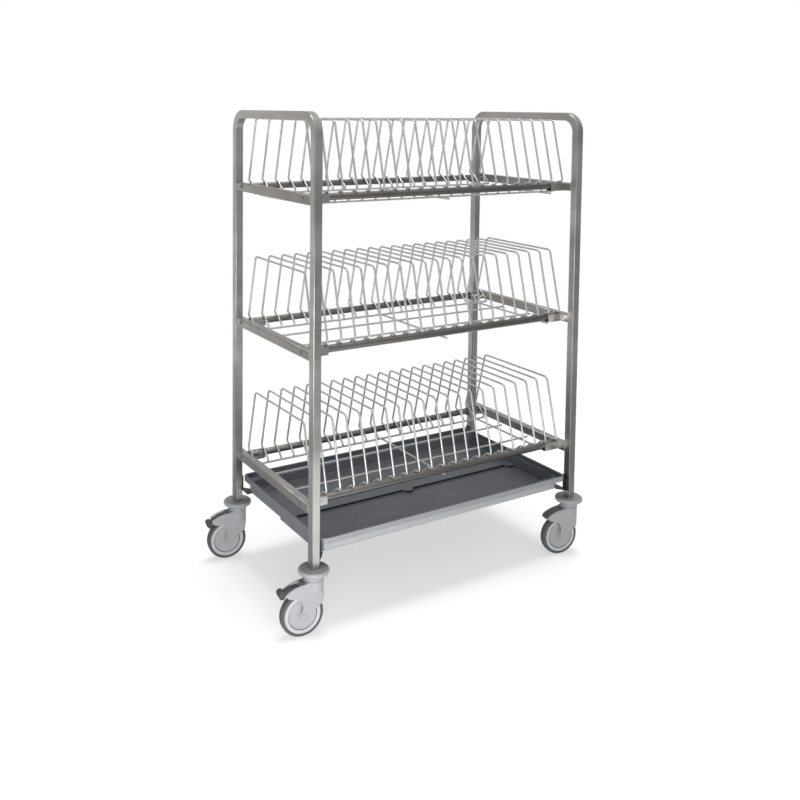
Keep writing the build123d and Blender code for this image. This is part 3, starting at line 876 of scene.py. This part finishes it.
spread_out("bumper_top_plates", shade_disc, under_posts, bumper_top_shade, "frame", "castor_plastic")

# Castor forks. Each is one light grey moulding: a round head on the stem, a hood over the wheel
# and two cheeks that end in the axle's bosses; a dark strip laid along the hood's roof is painted shade.
fork_voxel = 0.0011
fork_smoothing = 9
roof_half = 0.014
roof_stand = 0.0006
roof_sheet = 0.0016
hood_root = (-0.0265, 0.147)
hood_crown = (-0.0557, 0.1415)
hood_tip = (-0.085, 0.127)
strip_end = (-0.0885, 0.1225)
slot_back, slot_roof = -0.041, 0.1455
strip_section = [
    (-1.0, -1.0), (-1.0, -0.35), (-0.94, -0.08), (-0.8, 0.0),
    (0.8, 0.0), (0.94, -0.08), (1.0, -0.35), (1.0, -1.0),
]
castor_turns = {"front_left": -7.0, "front_right": -11.0, "rear_left": -10.0, "rear_right": -6.0}


def moulded(voxel, smoothing):
    """Modifiers that give a moulding's soft edges: a fine even mesh, smoothed and thinned."""
    return (
        ("REMESH", {"mode": "VOXEL", "voxel_size": voxel}),
        ("SMOOTH", {"factor": 0.5, "iterations": smoothing}),
        ("DECIMATE", {"decimate_type": "COLLAPSE", "ratio": 0.3}),
    )


def arc_through(start, middle, end, steps):
    """Points on the smooth curve from start through middle to end, as (x, z)."""
    points = []
    for i in range(steps + 1):
        t = i / steps
        weights = (2 * (t - 0.5) * (t - 1), -4 * t * (t - 1), 2 * t * (t - 0.5))
        parts = [(w * x, w * z) for w, (x, z) in zip(weights, (start, middle, end))]
        points.append(tuple(map(sum, zip(*parts))))
    return points


def crowned_strip(name, line, half_width, sheet):
    """A strip of sheet along an (x, z) line, its long edges rounded down."""
    bm = bmesh.new()
    rings = [
        [bm.verts.new((x, half_width * a, z + sheet * b)) for a, b in strip_section] for x, z in line
    ]
    count = len(strip_section)
    for near, far in zip(rings, rings[1:]):
        for k in range(count):
            j = (k + 1) % count
            bm.faces.new((near[k], near[j], far[j], far[k]))
    bm.faces.new(rings[0])
    bm.faces.new(rings[-1])
    return mesh_of(name, bm)


def at_castor(mesh, castor, offset=(0, 0, 0)):
    """The mesh turned and moved from the castor's own place to where that castor stands."""
    turn = Matrix.Rotation(math.radians(castor_turns[castor]), 4, "Z")
    mesh.transform(Matrix.Translation(posts[castor]) @ turn @ Matrix.Translation(offset))
    return mesh


def castor_piece(castor, name, mesh, finish, part, slot, *nodes, by=(), offset=(0, 0, 0)):
    """One piece of a castor, from the mesh as it lies at the castor's own place."""
    mesh = finished(at_castor(mesh, castor, offset), *by)
    shown(f"{castor}_{name}", mesh, finish, f"{castor}_{part}", slot, *nodes)


# Painted shade: the strip is near black, standing in for the shade on the hood's top.
hood_roof_shade = moulded_plastic("painted shade on hood roofs", (0.13, 0.135, 0.145), 0.4, 0.1, 0.06)
roof_line = [(x, z + roof_stand) for x, z in arc_through(hood_root, hood_crown, hood_tip, 24)]
for castor in castor_turns:
    node = f"{castor}_castor_fork"
    moulding = finished(cleaned_copy(node), *moulded(fork_voxel, fork_smoothing))
    shown(f"{castor}_moulded_fork", moulding, castor_grey, f"{castor}_fork", "castor_plastic", node)
    if castor.endswith("left"):
        line = [(x, z) for x, z in roof_line if x > slot_back + 0.001] + [(slot_back, slot_roof)]
    else:
        line = roof_line + [strip_end]
    strip = crowned_strip("strip", line, roof_half, roof_sheet)
    castor_piece(castor, "roof_strip", strip, hood_roof_shade, "fork", "castor_plastic")

# Axles. A steel pin through both cheeks and the hub, with a low grey plastic cap clipped over
# each of its ends.
wheel_radius = 0.061
castor_trail = 0.0355
axle_radius = 0.005
axle_half = 0.0198
axle_edge = 0.0012
cap_radius = 0.0058
cap_face = 0.0208
cap_edge = 0.0009
cap_foot = 0.0183
sideways = Matrix.Rotation(math.pi / 2, 4, "X")
hub = (-castor_trail, 0, wheel_radius)
axle_steel = polished_steel("bright axle steel", (0.60, 0.60, 0.60), 0.28)
head = arc_points((axle_radius - axle_edge, axle_half - axle_edge), axle_edge, 0, 90, 4)
pin_profile = [(0, -axle_half)] + [(r, -h) for r, h in reversed(head)] + head + [(0, axle_half)]
cap_round = arc_points((cap_radius - cap_edge, cap_face - cap_edge), cap_edge, 0, 90, 4)
cap_profile = [(0, cap_foot), (cap_radius, cap_foot), *cap_round, (0, cap_face)]
for castor in castor_turns:
    pin = turned("axle", pin_profile, 32, closed=False)
    pin.transform(sideways)
    node = f"{castor}_castor_axle"
    castor_piece(castor, "axle_pin", pin, axle_steel, "fork", "zinc_steel", node, offset=hub)
    bm = bmesh.new()
    for side in (-1, 1):
        cap = turned("cap", [(r, side * h) for r, h in cap_profile], 32, closed=False)
        bm.from_mesh(cap)
        bpy.data.meshes.remove(cap)
    caps = mesh_of("caps", bm)
    caps.transform(sideways)
    castor_piece(castor, "axle_caps", caps, castor_grey, "fork", "castor_plastic", offset=hub)

# Wheels. The centre is moulded in the fork's grey: a raised rim ring, a groove inside it
# and a slightly dished disc that runs in to the hub; the grey tyre is moulded round the rim.
wheel_sides = 96
rim_radius = 0.052
rim_half = 0.0115
rim_edge = 0.0008
groove_radius = 0.0405
groove_half = 0.0012
groove_depth = 0.0028
hub_radius = 0.013
hub_half = 0.014
hub_edge = 0.001
bore_radius = 0.0053
tyre_half = 0.013
shoulder_radius = 0.0085
rubber = moulded_plastic("dark grey tyre", (0.085, 0.088, 0.092), 0.55, 0.2, 0.08)
disc_grey = moulded_plastic("wheel centre plastic", (0.36, 0.367, 0.38), 0.38)
ring_grey = moulded_plastic("light rim ring plastic", (0.47, 0.478, 0.49), 0.34)
disc_half = rim_half - 0.0006
groove_foot = disc_half - groove_depth
groove_in, groove_out = groove_radius - groove_half, groove_radius + groove_half
wheel_face = [
    (bore_radius, hub_half), (hub_radius - hub_edge, hub_half), (hub_radius, hub_half - hub_edge),
    (hub_radius + 0.0012, disc_half - 0.003), (hub_radius + 0.004, disc_half - 0.0038),
    (groove_radius - 0.006, disc_half - 0.0012), (groove_in - 0.0008, disc_half - 0.0004),
    (groove_in, disc_half - 0.0006), (groove_in, groove_foot), (groove_out, groove_foot),
]
ring_face = [
    (groove_out, groove_foot - 0.0002), (groove_out, rim_half - 0.0007),
    (groove_out + rim_edge, rim_half), (rim_radius - 0.0012, rim_half),
    (rim_radius - 0.0003, rim_half - rim_edge),
]
tread = arc_points((wheel_radius - shoulder_radius, tyre_half - shoulder_radius), shoulder_radius, 8, 90, 9)
tyre_face = [
    (rim_radius - 0.0003, rim_half - 0.001), (rim_radius + 0.0002, tyre_half - 0.0012),
    (rim_radius + 0.0006, tyre_half - 0.0004), *reversed(tread),
]
for castor in castor_turns:
    for label, face, finish, slot, nodes in (
        ("wheel_centre", wheel_face, disc_grey, "castor_plastic", (f"{castor}_castor_wheel",)),
        ("rim_ring", ring_face, ring_grey, "castor_plastic", ()),
        ("tyre", tyre_face, rubber, "tyre", (f"{castor}_castor_tyre",)),
    ):
        disc = turned(label, face + [(r, -h) for r, h in reversed(face)], wheel_sides)
        disc.transform(sideways)
        castor_piece(castor, f"{label}_moulding", disc, finish, "wheel", slot, *nodes, offset=hub)

# Brake pedals. Black moulded levers on the two left castors, pinned across the slot in the hood;
# the foot plate stands out past the hood's tip.
pedal_black = moulded_plastic("black pedal plastic", (0.05, 0.052, 0.057), 0.42, 0.15, 0.1)
pedal_half = 0.0112
pedal_pivot = (-0.050, 0.134)
pedal_presses = {"front_left": 0.0, "rear_left": 13.0}
pedal_voxel = 0.0007
pedal_smoothing = 10
pedal_outline = [
    (-0.0455, 0.1375), (-0.050, 0.1398), (-0.066, 0.1385), (-0.080, 0.1335),
    (-0.087, 0.1315), (-0.0905, 0.1368), (-0.0985, 0.1365), (-0.1038, 0.132),
    (-0.1035, 0.124), (-0.0985, 0.1142), (-0.0895, 0.1125), (-0.0865, 0.1165),
    (-0.0845, 0.1225), (-0.070, 0.1285), (-0.0555, 0.1285), (-0.0455, 0.130),
]


def slab(name, outline, half_width):
    """An (x, z) outline made a solid, half of its width on each side of the middle."""
    bm = bmesh.new()
    near = [bm.verts.new((x, -half_width, z)) for x, z in outline]
    far = [bm.verts.new((x, half_width, z)) for x, z in outline]
    bm.faces.new(near)
    bm.faces.new(far)
    for k in range(len(outline)):
        j = (k + 1) % len(outline)
        bm.faces.new((near[k], near[j], far[j], far[k]))
    return mesh_of(name, bm)


for castor, pressed in pedal_presses.items():
    press = Matrix.Rotation(math.radians(pressed), 4, (0, -1, 0))
    pivot = Matrix.Translation((pedal_pivot[0], 0, pedal_pivot[1]))
    lever = slab("lever", pedal_outline, pedal_half)
    lever.transform(pivot @ press @ pivot.inverted())
    soft = moulded(pedal_voxel, pedal_smoothing)
    node = f"{castor}_brake_pedal"
    castor_piece(castor, "moulded_pedal", lever, pedal_black, "pedal", "pedal_plastic", node, by=soft)

# Place of the photograph: a plain pale floor, soft light from all round and a white background,
# with the camera where the photograph's was.
camera_data = bpy.data.cameras.new("camera")
camera = placed_object("camera", camera_data)
bpy.context.scene.camera = camera
eye = Vector((-1.616764, -2.372139, 1.42057))
yaw, pitch, roll = math.radians(30.751), math.radians(3.697), math.radians(0.509)
image_size = 800
focal_pixels = 926.654
centre_pixel = (343.631, 167.239)
forward = Vector((math.sin(yaw) * math.cos(pitch), math.cos(yaw) * math.cos(pitch), -math.sin(pitch)))
level = Vector((math.cos(yaw), -math.sin(yaw), 0))
upright = level.cross(forward)
right = math.cos(roll) * level + math.sin(roll) * upright
above = math.cos(roll) * upright - math.sin(roll) * level
turn = Matrix((right, above, -forward)).transposed()
camera.matrix_world = Matrix.Translation(eye) @ turn.to_4x4()
camera_data.sensor_width = 36.0
camera_data.lens = focal_pixels * camera_data.sensor_width / image_size
camera_data.shift_x = (image_size / 2 - centre_pixel[0]) / image_size
camera_data.shift_y = (centre_pixel[1] - image_size / 2) / image_size
camera_data.clip_start = 0.05

floor_radius = 9.0
floor_lift = 0.085
shadow_softening = 0.42
floor_mesh = bpy.data.meshes.new("floor")
floor_sides = 96
rim = [(floor_radius * a, floor_radius * b, 0) for a, b in circle_outline(1.0, floor_sides)]
floor_mesh.from_pydata(rim, [], [tuple(range(floor_sides))])
floor = placed_object("floor", floor_mesh)
floor_white = bpy.data.materials.new("pale floor")
floor_white.use_nodes = True
floor_mesh.materials.append(floor_white)
tree = floor_white.node_tree
shader = tree.nodes["Principled BSDF"]
wire_into(tree, shader, {
    "Roughness": 0.9, "Specular IOR Level": 0.0, "Base Color": (0.97, 0.97, 0.97, 1.0),
})
floor_rays = tree.nodes.new("ShaderNodeLightPath").outputs
spot = tree.nodes.new("ShaderNodeTexCoord").outputs["Object"]
away = measured(tree, "LENGTH", spot)
far_white = graded(tree, away, 1.3, 3.2)
depth = wired(tree, "ShaderNodeSeparateXYZ", {0: spot}).outputs[1]
# Painted reflection: in reflections only, the floor glows, brightest in a patch in front of the trolley and
# at a dimmer level behind it.
bright_spot = (-0.15, -0.93, 0.0)
from_spot = measured(tree, "DISTANCE", spot, bright_spot)
patch_level = graded(tree, from_spot, 0.35, 0.85, to=(1.15, 0.33))
back_level = graded(tree, away, 0.9, 3.0, to=(0.36, 0.72))
back_share = graded(tree, depth, -0.3, 0.3)
floor_glow = wired(tree, "ShaderNodeMix", {"Factor": back_share, "A": patch_level, "B": back_level})
seen_there = computed(tree, "MAXIMUM", floor_rays["Is Camera Ray"], floor_rays["Is Transmission Ray"])
lift = computed(tree, "MULTIPLY", seen_there, floor_lift)
lifted = wired(tree, "ShaderNodeEmission", {"Strength": lift})
softened = computed(tree, "MULTIPLY", seen_there, shadow_softening)
base_white = wired(tree, "ShaderNodeEmission", {"Strength": 1.0})
soft_floor = wired(tree, "ShaderNodeMixShader", {0: softened, 1: shader, 2: base_white})
near_floor = wired(tree, "ShaderNodeAddShader", {0: soft_floor, 1: lifted})
white = wired(tree, "ShaderNodeEmission", {"Strength": 1.0})
glow = wired(tree, "ShaderNodeEmission", {"Strength": floor_glow})
white_share = computed(tree, "MULTIPLY", seen_there, far_white)
whitened = wired(tree, "ShaderNodeMixShader", {0: white_share, 1: near_floor, 2: white})
glossy = floor_rays["Is Glossy Ray"]
mirrored_floor = wired(tree, "ShaderNodeMixShader", {0: glossy, 1: whitened, 2: glow})
wire_into(tree, tree.nodes["Material Output"], {"Surface": mirrored_floor})

world = bpy.data.worlds.new("studio")
bpy.context.scene.world = world
world.use_nodes = True
tree = world.node_tree
tree.nodes.clear()
rays = tree.nodes.new("ShaderNodeLightPath").outputs
direction = tree.nodes.new("ShaderNodeTexCoord").outputs["Generated"]
height = wired(tree, "ShaderNodeSeparateXYZ", {0: direction}).outputs[2]
backdrop_towards = (0.511, 0.859, 0.0)
facing = measured(tree, "DOT_PRODUCT", direction, backdrop_towards)
behind = graded(tree, facing, 0.1, 0.6, to=(0.36, 0.82))
overhead = graded(tree, height, 0.1, 0.75, to=(0.0, 0.55))
horizon = graded(tree, height, -0.12, 0.03, to=(1.0, 0.78))
lowered = computed(tree, "MULTIPLY", behind, horizon)
mirrored = computed(tree, "MAXIMUM", lowered, overhead)
seen = computed(tree, "MAXIMUM", rays["Is Camera Ray"], rays["Is Transmission Ray"])
soft_level = 0.42
glossy = wired(tree, "ShaderNodeMix", {"Factor": rays["Is Glossy Ray"], "A": soft_level, "B": mirrored})
strength = wired(tree, "ShaderNodeMix", {"Factor": seen, "A": glossy, "B": 1.0})
sky = wired(tree, "ShaderNodeBackground", {"Color": (1.0, 1.0, 1.0, 1.0), "Strength": strength})
wired(tree, "ShaderNodeOutputWorld", {"Surface": sky})


def soft_sun(name, towards, level, width):
    """A wide, soft directional light that shines towards the given direction."""
    lamp = bpy.data.lights.new(name, "SUN")
    lamp.energy = level * math.pi
    lamp.angle = math.radians(width)
    holder = placed_object(name, lamp)
    holder.rotation_euler = Vector(towards).to_track_quat("-Z", "Y").to_euler()


soft_sun("key", (-0.08, -0.03, -1.0), 0.48, 18)
soft_sun("fill", (0.2, 0.85, -0.45), 0.17, 60)

front_lamp = bpy.data.lights.new("front", "AREA")
front_lamp.energy = 10.5
front_lamp.size = 0.5
lamp_stand = placed_object("front", front_lamp)
lamp_stand.location = (-1.0, -1.2, 0.2)
towards_castor = posts["front_left"] - lamp_stand.location
lamp_stand.rotation_euler = towards_castor.to_track_quat("-Z", "Y").to_euler()

bpy.context.scene.view_settings.view_transform = "Standard"
